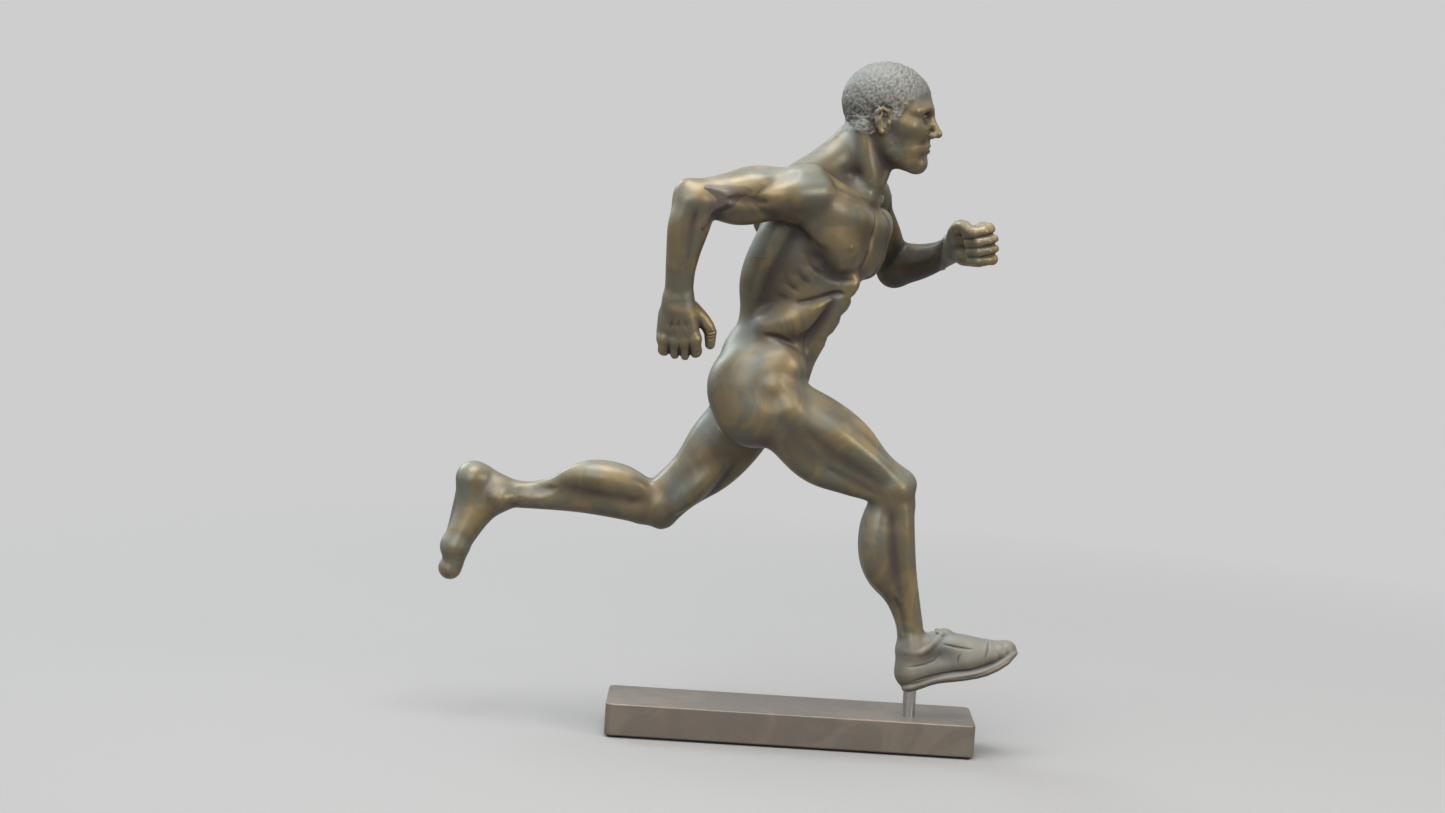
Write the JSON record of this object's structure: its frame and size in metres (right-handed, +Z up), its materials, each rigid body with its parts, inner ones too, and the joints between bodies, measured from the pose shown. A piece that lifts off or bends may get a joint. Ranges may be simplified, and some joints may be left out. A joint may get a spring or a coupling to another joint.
{
  "type": "figure trophy",
  "caption": "Bronze figure of a running athlete in mid-stride, carried by a short post under the front heel on a plain bar base.",
  "frame": {"origin": "centre of the base's underside, on the surface that the trophy stands on", "axes": "+X is the way the runner faces, +Y the runner's left, +Z up"},
  "size_m": [0.2708, 0.1223, 0.3147],
  "materials": {
    "figure_bronze": "patinated bronze, satin, olive brown with green-grey bloom and rubbed warm highlights",
    "base_bronze": "patinated bronze, satin, grey brown",
    "steel": "turned steel, bronzed where it shows",
    "felt": "dark felt"
  },
  "bodies": {
    "root": {"base_bar": "base_bronze", "base_pad": "felt", "torso": "figure_bronze", "head": "figure_bronze", "right_upper_arm": "figure_bronze", "right_forearm": "figure_bronze", "right_hand": "figure_bronze", "left_upper_arm": "figure_bronze", "left_forearm": "figure_bronze", "left_hand": "figure_bronze", "right_thigh": "figure_bronze", "right_lower_leg": "figure_bronze", "right_shoe": "figure_bronze", "left_thigh": "figure_bronze", "left_lower_leg": "figure_bronze", "left_foot": "figure_bronze", "support_post": "steel", "post_washer": "steel", "post_nut": "steel", "neck_dowel": "steel", "right_shoulder_dowel": "steel", "right_elbow_dowel": "steel", "right_wrist_dowel": "steel", "left_shoulder_dowel": "steel", "left_elbow_dowel": "steel", "left_wrist_dowel": "steel", "right_hip_dowel": "steel", "right_knee_dowel": "steel", "left_hip_dowel": "steel", "left_knee_dowel": "steel", "left_ankle_dowel": "steel"}
  },
  "joints": []
}
